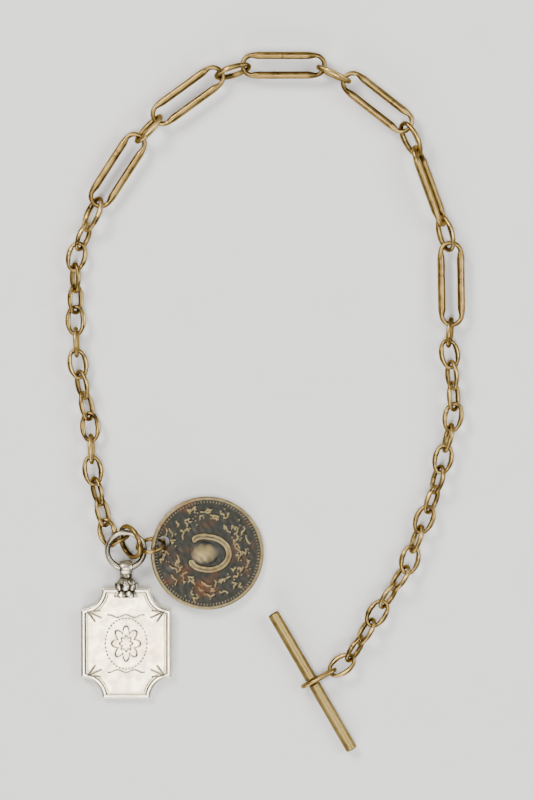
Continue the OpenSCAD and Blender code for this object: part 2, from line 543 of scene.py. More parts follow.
@dataclass(frozen=True)
class LinkShape:
    """Sizes of one pattern of link, in millimetres, and how its wire is worked."""

    length: float
    width: float
    end_wire: float
    side_wire: float
    end_radius: float
    section: Section
    taper: float = 0.9
    stations: int = 132
    points_round: int = 24

    def outline(self) -> Array:
        """Walks once round the wire's centre line.

        Returns:
            Points x, y at even steps, as an array of two columns.
        """
        half = (self.length - self.end_wire) / 2
        side = (self.width - self.side_wire) / 2
        a, b = half - self.end_radius, side - self.end_radius
        fine = 400
        if b < 1e-6:
            turn = math.pi / 2
            flat = np.stack([np.linspace(a, -a, fine), np.full(fine, side)], axis=1)
        else:
            reach = (a * a + b * b) / (2 * b)
            turn = math.acos(a / reach)
            angle = np.linspace(turn, math.pi - turn, fine)
            radius = self.end_radius + reach
            flat = np.stack([radius * np.cos(angle), b - reach + radius * np.sin(angle)], axis=1)
        angle = np.linspace(-turn, turn, fine)
        bend = np.stack([a + self.end_radius * np.cos(angle), self.end_radius * np.sin(angle)], axis=1)
        loop = np.concatenate([bend[:-1], flat[:-1], -bend[:-1], -flat[:-1]])
        step = np.linalg.norm(np.roll(loop, -1, axis=0) - loop, axis=1)
        walked = np.concatenate([[0.0], np.cumsum(step)])
        closed = np.concatenate([loop, loop[:1]])
        stops = np.linspace(0.0, walked[-1], self.stations, endpoint=False)
        return np.stack([np.interp(stops, walked, closed[:, k]) for k in range(2)], axis=1)


class WireLoop:
    """One closed loop of worked wire: a link or a ring."""

    WEAR_SHARE = 0.16
    SIDE_FLATNESS = 0.65
    SEAM_WIDTH = 0.22
    SEAM_DEPTH = 0.05
    SEAM_RANGE = (0.15, 0.35)
    SEAM_STEP = 0.15
    # Waves that make a wire uneven: turns along the loop, turns round the wire and size
    WAVES = ((3, 1, 0.008), (7, 2, 0.007), (13, 1, 0.006))
    # Colour ramp levels: plain sides, a painted highlight with rubbing on the facet ridges, painted shade
    # on the wire's inner face, eased along the sides, a darker seam dip, and a random tone for each link
    SIDE_SHADE = 0.5
    EDGE_RUB_AND_HIGHLIGHT = 0.34
    INSIDE_SHADE = 0.42
    INSIDE_EASE = 0.6
    SEAM_SHADE = 4
    LINK_SHADE = 0.06

    def __init__(self, node: str, shape: LinkShape, seed: int) -> None:
        """Keeps what the loop stands for and its own small differences."""
        self.node, self.shape = node, shape
        self.random = np.random.default_rng(seed)

    def _wire_radius(self, line: Array) -> tuple[Array, Array]:
        """Thickness of the wire along the loop.

        Args:
            line: The centre line's points.

        Returns:
            Wire radius and the share of side, 0 at an end bend and 1 on a side, at each point.
        """
        shape = self.shape
        start = (shape.length - shape.end_wire) / 2 - shape.end_radius
        share = 1.0 - ease(start - shape.taper, start + 0.35 * shape.end_radius, np.abs(line[:, 0]))
        return (shape.end_wire + (shape.side_wire - shape.end_wire) * share) / 2, share

    def build(self, material: Material) -> bpy.types.Object:
        """Sweeps the wire's worked section round the loop.

        Args:
            material: Its finish.

        Returns:
            The finished loop, in place of its CAD node.
        """
        shape, random = self.shape, self.random
        line = shape.outline()
        ahead = np.roll(line, -1, axis=0) - np.roll(line, 1, axis=0)
        ahead /= np.linalg.norm(ahead, axis=1)[:, None]
        outward = np.stack([ahead[:, 1], -ahead[:, 0]], axis=1)
        radius, share = self._wire_radius(line)
        facets, flatness = shape.section.value
        angle = np.arange(shape.points_round) / shape.points_round * FULL_TURN
        sector = FULL_TURN / facets
        flat = math.cos(sector / 2)
        facet = flat / np.cos(np.mod(angle - sector / 2, sector) - sector / 2)
        filed = flatness * (1.0 - self.SIDE_FLATNESS + self.SIDE_FLATNESS * share)[:, None]
        worked = 1.0 - filed * (1.0 - facet)[None, :]
        way = np.linspace(0.0, FULL_TURN, len(line), endpoint=False)
        uneven = sum(
            size * np.sin(turns * way[:, None] + angle[None, :] * twist + random.uniform(0, FULL_TURN))
            for turns, twist, size in self.WAVES
        )
        inside = np.clip(-np.cos(angle), 0.0, 1.0)[None, :] ** 2
        rubbed = self.WEAR_SHARE * inside * (1.0 - share)[:, None]
        seam_at = random.uniform(*self.SEAM_RANGE) * FULL_TURN
        from_seam = np.abs(way - seam_at) / FULL_TURN * len(way) * self.SEAM_STEP
        seam = -self.SEAM_DEPTH * ridge(from_seam, self.SEAM_WIDTH)[:, None]
        thick = radius[:, None] * np.minimum(worked + uneven - rubbed + seam, 1.0)
        local = np.zeros((len(line), len(angle), 3))
        out = (thick * np.cos(angle)[None, :])[..., None]
        local[..., :2] = line[:, None, :] + outward[:, None, :] * out
        local[..., 2] = thick * np.sin(angle)[None, :]
        # Painted highlight with rubbing on the facet ridges of the sides, painted shade on the inner face
        # where the next links sit, strongest in the end bends, a darker line in the seam's dip and a random
        # tone for each link
        edge = np.clip((facet - flat) / (1.0 - flat), 0.0, 1.0) ** 4
        shade_and_wear = self.SIDE_SHADE + self.EDGE_RUB_AND_HIGHLIGHT * edge[None, :] * share[:, None]
        shade_and_wear = shade_and_wear - self.INSIDE_SHADE * inside * (1.0 - self.INSIDE_EASE * share)[:, None]
        shade_and_wear = shade_and_wear + seam * self.SEAM_SHADE + random.uniform(-self.LINK_SHADE, self.LINK_SHADE)
        faces = MeshMaker.grid_faces(len(line), len(angle), True, True)
        points = Basis.of_node(self.node).place(local.reshape(-1, 3))
        return MeshMaker.make(f"{self.node}_wire", points, faces, shade_and_wear.ravel(), material)


@dataclass(frozen=True)
class ChainLinks:
    """Every link of the chain, and the small oval rings."""

    cable: LinkShape = LinkShape(7.8, 5.4, 1.1, 1.35, 1.6, Section.RIDGED)
    oval: LinkShape = LinkShape(9.6, 6.4, 1.2, 1.5, 1.95, Section.RIDGED)
    long: LinkShape = LinkShape(21.6, 6.8, 1.3, 1.9, 2.45, Section.SOFT, taper=1.6, stations=200)
    drop: LinkShape = LinkShape(10.0, 5.2, 1.0, 1.1, 1.6, Section.SOFT)
    corner: LinkShape = LinkShape(5.9, 5.0, 1.0, 1.1, 1.85, Section.SOFT, stations=100)
    coin_ring: LinkShape = LinkShape(7.6, 6.8, 1.0, 1.1, 2.4, Section.SOFT, stations=120)

    def shape_of(self, node: str) -> "LinkShape | None":
        """Finds a node's pattern from its name.

        Args:
            node: Name of the CAD node.

        Returns:
            The pattern, or None if the node isn't a link.
        """
        named = {
            "_cable_": self.cable,
            "_oval_": self.oval,
            "_long_": self.long,
            "bar_drop_link": self.drop,
            "corner_jump_ring": self.corner,
            "coin_jump_ring": self.coin_ring,
        }
        return next((shape for part, shape in named.items() if part in node), None)

    def build(self, material: Material) -> None:
        """Builds all the links.

        Args:
            material: The brass they are made of.
        """
        count = 0
        for seed, node in enumerate(sorted(frame["nodes"])):
            shape = self.shape_of(node)
            if shape is not None:
                MeshMaker.settle(WireLoop(node, shape, seed).build(material), node, Slot.BRASS)
                count += 1
        log.info("links: %d", count)


@dataclass(frozen=True)
class Rings:
    """The round ring at the corner and the fob's bow."""

    corner_d: float = 9.2
    corner_wire: float = 1.3
    corner_seed: int = 81
    bow_d: float = 10.6
    bow_wire: float = 1.5
    bow_seed: int = 82

    @staticmethod
    def _round(diameter: float, wire: float, section: Section) -> LinkShape:
        """A link shape that is a true circle."""
        return LinkShape(diameter, diameter, wire, wire, (diameter - wire) / 2, section, stations=144)

    def build(self, brass: Material, silver: Material) -> None:
        """Builds both rings.

        Args:
            brass: Finish of the corner ring.
            silver: Finish of the bow.
        """
        ring = self._round(self.corner_d, self.corner_wire, Section.SOFT)
        corner = WireLoop("corner_ring", ring, self.corner_seed).build(brass)
        MeshMaker.settle(corner, "corner_ring", Slot.BRASS)
        ring = self._round(self.bow_d, self.bow_wire, Section.ROUND)
        bow = WireLoop("fob_bow", ring, self.bow_seed).build(silver)
        MeshMaker.settle(bow, "fob_bow", Slot.SILVER)
        log.info("rings: corner ring and bow")


# ---------------------------------------------------------------------- bar


@dataclass(frozen=True)
class TBar:
    """The plain bar that goes through a buttonhole."""

    length: float = 39.4
    diameter: float = 2.85
    waist: float = 2.0
    scoop: float = 1.25
    chamfer: float = 0.3
    bruises: int = 26
    bruise_length: Place = (0.3, 1.1)
    bruise_turn: Place = (0.15, 0.4)
    bruise_depth: Place = (0.01, 0.035)
    groove_shade: float = 0.3
    side_shade: float = 0.28
    end_shade: float = 0.5
    stations: int = 260
    groove_stations: int = 41
    points_round: int = 40
    seed: int = 5

    def radius_at(self, place: Array) -> Array:
        """Radius along the bar, with its waist and eased ends.

        Args:
            place: Distances from the bar's middle.

        Returns:
            The radius at each.
        """
        full = self.diameter / 2
        dip = self.scoop**2 - np.clip(np.abs(place), 0.0, self.scoop) ** 2
        groove = self.waist / 2 + self.scoop - np.sqrt(dip)
        to_end = self.length / 2 - np.abs(place)
        corner = full - self.chamfer * (1.0 - np.sqrt(np.clip(to_end / self.chamfer, 0.0, 1.0)))
        return np.minimum(np.minimum(full, groove), corner)

    def build(self, material: Material) -> None:
        """Lathes the bar, with the slight bruises of long wear.

        Args:
            material: Its brass.
        """
        random = np.random.default_rng(self.seed)
        half = self.length / 2
        even = np.sin(np.linspace(-math.pi / 2, math.pi / 2, self.stations)) * half
        close = np.linspace(-self.scoop, self.scoop, self.groove_stations)
        place = np.sort(np.concatenate([even, close]))
        angle = np.arange(self.points_round) / self.points_round * FULL_TURN
        radius = self.radius_at(place)[:, None] * np.ones((1, len(angle)))
        for _ in range(self.bruises):
            at, side = random.uniform(-half, half), random.uniform(0, FULL_TURN)
            near = ((place[:, None] - at) / random.uniform(*self.bruise_length)) ** 2
            round_it = np.angle(np.exp(1j * (angle[None, :] - side)))
            turn = (round_it / random.uniform(*self.bruise_turn)) ** 2
            radius = radius - random.uniform(*self.bruise_depth) * np.exp(-near - turn)
        out, up = radius * np.cos(angle)[None, :], radius * np.sin(angle)[None, :]
        local = np.stack([place[:, None] + 0 * radius, out, up], axis=2)
        ends = np.array([[-half, 0.0, 0.0], [half, 0.0, 0.0]])
        points = np.concatenate([local.reshape(-1, 3), ends])
        rows, columns = len(place), len(angle)
        faces = MeshMaker.grid_faces(rows, columns, False, True)
        low, high = rows * columns, rows * columns + 1
        last = (rows - 1) * columns
        for j in range(columns):
            k = (j + 1) % columns
            faces.append((low, k, j))
            faces.append((high, last + j, last + k))
        # Painted shade in the waist groove, the full-width bar lighter and the end caps at a middle level
        groove = ease(self.waist / 2, self.diameter / 2, radius)
        shade = self.groove_shade + self.side_shade * groove
        shade_and_wear = np.concatenate([shade.ravel(), [self.end_shade, self.end_shade]])
        points = Basis.of_node("t_bar").place(points)
        made = MeshMaker.make("t_bar_rod", points, faces, shade_and_wear, material)
        MeshMaker.settle(made, "t_bar", Slot.BRASS)
        log.info("bar: %.1f mm", self.length)


# ---------------------------------------------------------------------- fob


@dataclass(frozen=True)
class Engraving:
    """The cuts on the plate's face, in millimetres: border, corner rays, foot dashes and rosette."""

    border_in: float = 1.05
    border_width: float = 0.17
    second_in: float = 0.55
    second_width: float = 0.1
    second_share: float = 0.6
    ray_in: Place = (1.7, 0.5)
    ray_leans: tuple[float, ...] = (-0.1, 0.42, 0.95)
    ray_middle: float = 0.42
    ray_reach: float = 3.6
    ray_loss: float = 1.2
    ray_width: float = 0.3
    ray_thinning: float = 0.02
    ray_fade: float = 12.0
    dashes: int = 3
    dash_from: float = 2.9
    dash_step: float = 0.9
    dash_up: float = 0.7
    dash_length: float = 0.7
    dash_width: float = 0.13
    rosette_flat: float = 0.82
    petals: int = 8
    petal_from: float = 2.1
    petal_reach: float = 1.5
    petal_width: float = 0.2
    heart_share: float = 0.45
    heart_width: float = 0.16
    beads: int = 40
    bead_ring: float = 5.2
    bead_width: float = 0.12
    bead_gap: float = -0.2
    wave_up: float = 6.9
    wave_size: float = 0.35
    wave_turns: float = 1.5
    wave_width: float = 0.15
    wave_half: float = 4.6

    def _rays(self, x: Array, y: Array, tip: Place, side: Place) -> Array:
        """One fan of rays inside a hollowed corner.

        Args:
            x: Place across the plate.
            y: Place up the plate.
            tip: Point that the rays meet in.
            side: Signs of the corner's place across and up.

        Returns:
            Share of the full depth of cut.
        """
        cut = np.zeros_like(x)
        fade = 1 - np.hypot(x - tip[0], y - tip[1]) / self.ray_fade
        for lean in self.ray_leans:
            reach = self.ray_reach - self.ray_loss * abs(lean - self.ray_middle)
            end = (tip[0] - side[0] * reach * math.cos(lean), tip[1] - side[1] * reach * math.sin(lean))
            width = self.ray_width - self.ray_thinning * reach
            cut = np.maximum(cut, ridge(segment_distance(x, y, tip, end), width) * fade)
        return cut

    def _rosette(self, x: Array, y: Array) -> Array:
        """The rosette in its beaded oval, with a wavy line above and below.

        Args:
            x: Place across the plate.
            y: Place up the plate.

        Returns:
            Share of the full depth of cut.
        """
        radius = np.hypot(x, self.rosette_flat * y)
        angle = np.arctan2(self.rosette_flat * y, x)
        petal = self.petal_from + self.petal_reach * np.abs(np.cos(self.petals / 2 * angle))
        cut = ridge(radius - petal, self.petal_width)
        cut = np.maximum(cut, ridge(radius - self.heart_share * petal, self.heart_width))
        bead = np.cos(self.beads * angle) > self.bead_gap
        cut = np.maximum(cut, ridge(radius - self.bead_ring, self.bead_width) * bead)
        for way in (-1, 1):
            line = way * (self.wave_up + self.wave_size * np.cos(self.wave_turns * x))
            wave = ridge(np.abs(y - line), self.wave_width) * (np.abs(x) < self.wave_half)
            cut = np.maximum(cut, wave)
        return cut

    def depth(self, x: Array, y: Array, inset: Array, corner: Place, foot: float) -> Array:
        """Depth of all the cuts.

        Args:
            x: Place across the plate.
            y: Place up the plate.
            inset: Distance from the plate's outline.
            corner: Where the straight side meets the hollowed corner.
            foot: Height of the plate's lower edge.

        Returns:
            Share of the full depth of cut.
        """
        cut = ridge(inset - self.border_in, self.border_width)
        second = ridge(inset - self.border_in - self.second_in, self.second_width)
        cut = np.maximum(cut, self.second_share * second)
        for sx in (-1, 1):
            for sy in (-1, 1):
                tip = (sx * (corner[0] - self.ray_in[0]), sy * (corner[1] - self.ray_in[1]))
                cut = np.maximum(cut, self._rays(x, y, tip, (sx, sy)))
            for k in range(self.dashes):
                start = (sx * (self.dash_from + self.dash_step * k), self.dash_up + foot)
                end = (start[0] + sx * self.dash_length, start[1])
                cut = np.maximum(cut, ridge(segment_distance(x, y, start, end), self.dash_width))
        return np.maximum(cut, self._rosette(x, y))


@dataclass(frozen=True)
class Plate:
    """The silver plate, with hollowed corners, a bevelled edge and engraving."""

    width: float = 22.4
    height: float = 27.6
    thickness: float = 2.0
    hollow: float = 5.3
    bevel: float = 0.5
    step: float = 0.3
    cut: float = 0.1
    worn: float = 0.03
    dish: float = 0.03
    dish_turns: Place = (0.5, 0.36)
    dish_start: float = 0.8
    face_shade: float = 0.52
    bevel_rub_and_highlight: float = 0.4
    back_shade: float = 0.5
    engraving: Engraving = Engraving()
    arc_rows: int = 44
    side_rows: int = 160
    columns: int = 190

    def _rows(self) -> tuple[Array, Array]:
        """Rows across the plate that follow its outline.

        Returns:
            Each row's height on the plate and half its width there.
        """
        turn = np.linspace(0.0, math.pi / 2, self.arc_rows)
        top = self.height / 2 - self.hollow * np.cos(turn)
        reach = self.width / 2 - self.hollow * np.sin(turn)
        flat = self.height / 2 - self.hollow
        straight = np.linspace(-flat, flat, self.side_rows)[1:-1]
        y = np.concatenate([-top[::-1], straight, top])
        half = np.concatenate([reach[::-1], np.full(len(straight), self.width / 2), reach])
        return y, half

    def _edge_distance(self, x: Array, y: Array) -> Array:
        """Distance of points on the plate from its outline.

        Args:
            x: Place across the plate.
            y: Place up the plate.

        Returns:
            The distance, 0 on the outline and beyond it.
        """
        side = np.minimum(self.width / 2 - np.abs(x), self.height / 2 - np.abs(y))
        corner = np.hypot(self.width / 2 - np.abs(x), self.height / 2 - np.abs(y)) - self.hollow
        return np.clip(np.minimum(side, corner), 0.0, None)

    def face(self, x: Array, y: Array) -> tuple[Array, Array]:
        """Height and relief of the upper face.

        Args:
            x: Place across the plate.
            y: Place up the plate.

        Returns:
            Height above the plate's middle, and each point's colour ramp level: painted shade and highlight
            with wear.
        """
        inset = self._edge_distance(x, y)
        slope = ease(0.0, self.bevel, inset)
        corner = (self.width / 2, self.height / 2 - self.hollow)
        cut = self.engraving.depth(x, y, inset, corner, -self.height / 2)
        across, up = self.dish_turns
        dish = self.dish * np.cos(x * across) * np.cos(y * up + self.dish_start)
        high = self.thickness / 2 - self.step * (1.0 - slope) - self.cut * cut
        high = high - self.worn + dish * ease(0.0, 2.0, inset)
        # Painted highlight with rubbing along the crest of the bevel; the engraved cuts coloured darker
        shade_and_wear = self.face_shade + self.bevel_rub_and_highlight * ridge(inset - self.bevel, 0.3) - 0.5 * cut
        return high, shade_and_wear

    @staticmethod
    def basis() -> Basis:
        """The plate's frame, with along across the plate."""
        return Basis.of_node("fob_plate").turned(np.array([1.0, 0.0, 0.0]))

    def build(self, material: Material) -> None:
        """Builds the plate as a fine grid that follows its outline.

        Args:
            material: Its silver.
        """
        y, half = self._rows()
        share = np.linspace(-1.0, 1.0, self.columns)
        x = half[:, None] * share[None, :]
        y = y[:, None] * np.ones_like(x)
        high, shade_and_wear = self.face(x, y)
        slope = ease(0.0, self.bevel, self._edge_distance(x, y))
        low = -(self.thickness / 2 - self.step * (1.0 - slope))
        rows, columns = x.shape
        points = np.concatenate([np.stack([x, y, z], axis=2).reshape(-1, 3) for z in (high, low)])
        faces = MeshMaker.grid_faces(rows, columns, False, False)
        under = rows * columns
        faces += [face[::-1] for face in MeshMaker.grid_faces(rows, columns, False, False, under)]
        rim = list(range(columns)) + [i * columns + columns - 1 for i in range(1, rows)]
        rim += [under - 1 - j for j in range(1, columns)] + [i * columns for i in range(rows - 2, 0, -1)]
        for a, b in zip(rim, rim[1:] + rim[:1]):
            faces.append((b, a, a + under, b + under))
        shade_and_wear = np.concatenate([shade_and_wear.ravel(), np.full(under, self.back_shade)])
        points = self.basis().place(points)
        made = MeshMaker.make("fob_plate_silver", points, faces, shade_and_wear, material)
        MeshMaker.settle(made, "fob_plate", Slot.SILVER)
        log.info("plate: %d faces", len(faces))


@dataclass(frozen=True)
class Collar:
    """The fob's eye, its neck and the two leaf-worked tiers of its collar, in millimetres."""

    eye_d: float = 4.0
    eye_w: float = 3.0
    eye_hole_d: float = 2.4
    neck_d: float = 3.0
    tier_d: float = 5.0
    tier_from: float = 2.2
    base_from: float = 3.8
    base_to: float = 7.2
    base_w: float = 6.9
    base_t: float = 5.6
    leaves: int = 10
    leaf_depth: float = 0.16
    vein_depth: float = 0.1
    vein_width: float = 0.2
    base_leaf_depth: float = 0.14
    base_waist: float = 0.16
    base_draw: float = 0.1
    line_depth: float = 0.05
    line_width: float = 0.06
    # Colour ramp levels: painted highlight on raised leaves and leaf points, painted shade with tarnish in
    # the hollows and cut lines, and painted shade inside the eye's hole
    neck_shade: float = 0.42
    leaf_shades: tuple[float, float, float] = (0.12, 0.68, 0.3)
    point_shades: tuple[float, float, float] = (0.08, 0.8, 0.3)
    band_shades: Place = (0.62, 0.3)
    crown: float = 0.28
    hole_crown: float = 0.12
    body_from: float = 1.3
    stations: int = 110
    points_round: int = 168
    band_columns: int = 15
    band_stations: int = 72

    def _neck(self, down: float, angle: Array) -> tuple[Array, Array, Array]:
        """Outline of the plain neck.

        Args:
            down: Distance below the eye's centre.
            angle: Directions round the axis.

        Returns:
            Place across, place through and relief at each direction.
        """
        swell = 0.9 + 0.1 * float(ease(1.2, self.tier_from, np.array(down)))
        radius = self.neck_d / 2 * swell * np.ones_like(angle)
        return radius * np.cos(angle), radius * np.sin(angle), self.neck_shade + 0 * angle

    def _bell(self, down: float, angle: Array) -> tuple[Array, Array, Array]:
        """Outline of the upper tier, a bell of veined leaves.

        Args:
            down: Distance below the eye's centre.
            angle: Directions round the axis.

        Returns:
            Place across, place through and relief at each direction.
        """
        share = (down - self.tier_from) / (self.base_from - self.tier_from)
        bell = math.sin(math.pi * min(1.0, 0.22 + 0.78 * share) * 0.5) ** 0.6
        wave = np.sin(angle * self.leaves / 2)
        leaf = np.abs(wave)
        vein = ridge(wave - 1.0, self.vein_width) + ridge(wave + 1.0, self.vein_width)
        lobes = 1.0 - self.leaf_depth + self.leaf_depth * leaf * (0.3 + 0.7 * share)
        radius = self.tier_d / 2 * bell * lobes - self.vein_depth * vein
        # Painted highlight on each leaf's middle, growing with the bell, and painted shade with tarnish
        # between the leaves and in the veins
        hollow, raised, cut = self.leaf_shades
        shade_and_wear = hollow + raised * leaf * bell - cut * vein
        return radius * np.cos(angle), radius * np.sin(angle), shade_and_wear

    def _base(self, down: float, angle: Array) -> tuple[Array, Array, Array]:
        """Outline of the lower tier, two rows of leaf points that change places.

        Args:
            down: Distance below the eye's centre.
            angle: Directions round the axis.

        Returns:
            Place across, place through and relief at each direction.
        """
        share = (down - self.base_from) / (self.base_to - self.base_from)
        belly = self.base_waist * math.sin(math.pi * share) ** 2
        waist = 1.0 - belly - self.base_draw * (1.0 - share) ** 3
        tier = np.sin(angle * self.leaves / 2 + (math.pi / 2 if share > 0.5 else 0.0))
        point = np.clip(np.abs(tier) * 1.25 - abs((2 * share) % 1.0 - 0.62) * 1.1, 0.0, 1.0)
        line = ridge(np.array(abs(share - 0.5)), self.line_width)
        scale = waist * (1.0 - self.base_leaf_depth + self.base_leaf_depth * point) - self.line_depth * line
        square = (self.base_w - self.base_t) / 2
        x = self.base_t / 2 * np.cos(angle) * scale + square * np.tanh(4 * np.cos(angle)) * scale
        # Painted highlight on the leaf points and painted shade with tarnish between them and in the line
        # between the rows
        hollow, raised, cut = self.point_shades
        return x, self.base_t / 2 * np.sin(angle) * scale, hollow + raised * point - cut * line

    def _section(self, down: float, angle: Array) -> tuple[Array, Array, Array]:
        """The outline at one distance below the eye.

        Args:
            down: Distance below the eye's centre.
            angle: Directions round the axis.

        Returns:
            Place across, place through and relief at each direction.
        """
        if down < self.tier_from:
            return self._neck(down, angle)
        if down < self.base_from:
            return self._bell(down, angle)
        return self._base(down, angle)

    def _body(self) -> tuple[Array, Faces, Array]:
        """Neck and tiers as one closed skin.

        Returns:
            Points, faces and relief.
        """
        angle = np.arange(self.points_round) / self.points_round * FULL_TURN
        down = np.linspace(self.body_from, self.base_to, self.stations)
        steps = [edge - gap for edge in (self.tier_from, self.base_from) for gap in (0.01, 0.0)]
        down = np.sort(np.concatenate([down, steps]))
        rows = [self._section(float(d), angle) for d in down]
        points = np.concatenate(
            [np.stack([x, np.full_like(x, -d), z], axis=1) for d, (x, z, _) in zip(down, rows)]
        )
        shade_and_wear = np.concatenate([r for _, _, r in rows])
        count, columns = len(down), len(angle)
        faces = [f[::-1] for f in MeshMaker.grid_faces(count, columns, False, True)]
        faces.append(tuple(range(columns)))
        faces.append(tuple(reversed(range((count - 1) * columns, count * columns))))
        return points, faces, shade_and_wear

    def _eye(self, first: int) -> tuple[Array, Faces, Array]:
        """The crowned band round the eye's hole.

        Args:
            first: Index of the band's first point.

        Returns:
            Points, faces and relief.
        """
        across = np.linspace(-1.0, 1.0, self.band_columns)
        crowned = self.eye_d / 2 - self.crown * np.abs(across) ** 3
        flared = self.eye_hole_d / 2 + self.hole_crown * np.abs(across[::-1]) ** 4
        outer = np.stack([across * self.eye_w / 2, crowned], axis=1)
        inner = np.stack([across[::-1] * self.eye_w / 2, flared], axis=1)
        profile = np.concatenate([outer, inner])
        angle = np.arange(self.band_stations) / self.band_stations * FULL_TURN
        width = np.tile(profile[:, 0], (len(angle), 1))
        out = np.cos(angle)[:, None] * profile[None, :, 1]
        up = np.sin(angle)[:, None] * profile[None, :, 1]
        points = np.stack([width, out, up], axis=2).reshape(-1, 3)
        # Painted shade inside the eye's hole, its crowned outer face lighter
        shade_and_wear = np.tile(np.repeat(self.band_shades, len(across)), len(angle))
        faces = MeshMaker.grid_faces(len(angle), len(profile), True, True, first)
        return points, faces, shade_and_wear

    def build(self, material: Material, eye: Array, plate: Basis) -> None:
        """Builds the collar above the plate.

        Args:
            material: Its silver.
            eye: Centre of the eye, in metres.
            plate: Frame of the plate, which the collar shares.
        """
        points, faces, shade_and_wear = self._body()
        # The eye band's colour ramp levels, painted shade inside the hole and a lighter outer face, come
        # back as its third part
        more, bands, worn = self._eye(len(points))
        basis = Basis(eye, plate.along, plate.across, plate.up)
        points, shade_and_wear = basis.place(np.concatenate([points, more])), np.concatenate([shade_and_wear, worn])
        made = MeshMaker.make("fob_collar_silver", points, faces + bands, shade_and_wear, material)
        MeshMaker.settle(made, "fob_collar", Slot.SILVER)
        log.info("collar: %d leaves a tier", self.leaves)


# ---------------------------------------------------------------------- coin


@dataclass(frozen=True)
class Coin:
    """The worn bronze coin with a horseshoe round a smooth boss, in millimetres."""

    diameter: float = 28.2
    thickness: float = 1.5
    field_drop: float = 0.2
    rim: float = 1.2
    hole_d: float = 3.0
    hole: Place = (-10.885, 2.764)
    hole_lip: float = 0.1
    rim_rise: float = 0.35
    edge_wear: float = 0.14
    shoe_half: Place = (5.1, 4.1)
    shoe_wire: float = 1.7
    shoe_sweep: float = 2.45
    shoe_x: float = 0.3
    shoe_lean: float = -0.14
    shoe_high: float = 0.32
    shoe_groove: float = 0.45
    boss_x: float = -0.8
    boss_half: Place = (3.7, 2.9)
    boss_high: float = 0.4
    beads: int = 104
    bead_high: float = 0.13
    marks: int = 58
    mark_rings: tuple[float, ...] = (7.8, 9.2, 10.5, 11.5)
    mark_points: int = 20
    mark_width: float = 0.4
    mark_high: float = 0.24
    dots: int = 64
    dot_ring: Place = (7.2, 12.0)
    mark_seed: int = 31
    wear_waves: int = 16
    wear_size: float = 0.004
    wear_seed: int = 32
    field_shade: float = 0.34
    mark_shade: float = 0.42
    shoe_shade: float = 0.42
    boss_shade: float = 0.38
    bead_shade: float = 0.3
    rim_shade: float = 0.36
    back_shade: float = 0.36
    back_rim_shade: float = 0.3
    rows: int = 190
    back_rows: int = 44
    columns: int = 660

    def _strokes(self) -> Array:
        """Points along the worn marks that ring the horseshoe.

        Returns:
            Points x, y of all the strokes and dots.
        """
        random = np.random.default_rng(self.mark_seed)
        marks = []
        for k in range(self.marks):
            angle = FULL_TURN * (k + random.uniform(-0.2, 0.2)) / self.marks
            radius = random.choice(self.mark_rings)
            turn, reach = random.uniform(-1.4, 1.4), random.uniform(0.35, 1.3)
            hook, curl = random.uniform(-0.7, 0.7), random.uniform(-0.5, 0.5)
            t = np.linspace(-1.0, 1.0, self.mark_points)
            wave = hook * (t * t - 0.4) + curl * np.sin(4.0 * t)
            out = reach * t * math.cos(turn) - wave * math.sin(turn)
            side = reach * t * math.sin(turn) + wave * math.cos(turn)
            r, a = radius + 0.8 * out, angle + side / radius
            marks.append(np.stack([r * np.cos(a), r * np.sin(a)], axis=1))
        for _ in range(self.dots):
            a, r = random.uniform(0, FULL_TURN), random.uniform(*self.dot_ring)
            marks.append(np.array([[r * math.cos(a), r * math.sin(a)]]))
        return np.concatenate(marks)

    def _shoe(self) -> Array:
        """Points along the middle of the horseshoe, from one of its ends to the other.

        Returns:
            Points x, y.
        """
        turn = np.linspace(-self.shoe_sweep, self.shoe_sweep, 90)
        x = self.shoe_half[0] * np.cos(turn)
        y = self.shoe_half[1] * np.sin(turn) * (1.0 + 0.12 * ease(1.6, self.shoe_sweep, np.abs(turn)))
        lean_x = x * math.cos(self.shoe_lean) - y * math.sin(self.shoe_lean)
        lean_y = x * math.sin(self.shoe_lean) + y * math.cos(self.shoe_lean)
        return np.stack([self.shoe_x + lean_x, lean_y], axis=1)

    @staticmethod
    def _nearest(x: Array, y: Array, marks: Array) -> Array:
        """Distance from each point to the nearest of the marks.

        Args:
            x: Points' place across the coin.
            y: Points' place up the coin.
            marks: The marks' points.

        Returns:
            The distance of every point.
        """
        block = 4000
        flat = np.stack([x.ravel(), y.ravel()], axis=1)
        near = np.empty(len(flat))
        for start in range(0, len(flat), block):
            gap = flat[start : start + block, None, :] - marks[None, :, :]
            near[start : start + block] = np.sqrt((gap**2).sum(2).min(1))
        return near.reshape(x.shape)

    def _circles(self, rows: int) -> tuple[Array, Array]:
        """Circles of points that grow from the hole to the edge.

        Args:
            rows: Number of circles, apart from the close ones at the hole.

        Returns:
            Place across and up the coin of each circle's points.
        """
        grow = np.concatenate([[0.0, 0.004, 0.012], np.linspace(0.02, 1.0, rows)])[:, None]
        angle = np.arange(self.columns) / self.columns * FULL_TURN
        radius = self.hole_d / 2 + grow * (self.diameter - self.hole_d) / 2
        x = (1 - grow) * self.hole[0] + radius * np.cos(angle)[None, :]
        y = (1 - grow) * self.hole[1] + radius * np.sin(angle)[None, :]
        return x, y

    def _lip(self, x: Array, y: Array) -> Array:
        """How far the faces fall away round the hole."""
        from_hole = np.hypot(x - self.hole[0], y - self.hole[1]) - self.hole_d / 2
        return self.hole_lip * (1.0 - ease(0.0, 0.4, from_hole))

    def _rim(self, x: Array, y: Array) -> Array:
        """Height of the rim above the field, with its worn outer corner.

        Args:
            x: Place across the coin.
            y: Place up the coin.

        Returns:
            The height.
        """
        radius, edge = np.hypot(x, y), self.diameter / 2
        rise = self.field_drop * ease(edge - self.rim, edge - self.rim + self.rim_rise, radius)
        return rise - self.edge_wear * ease(edge - 0.3, edge, radius)

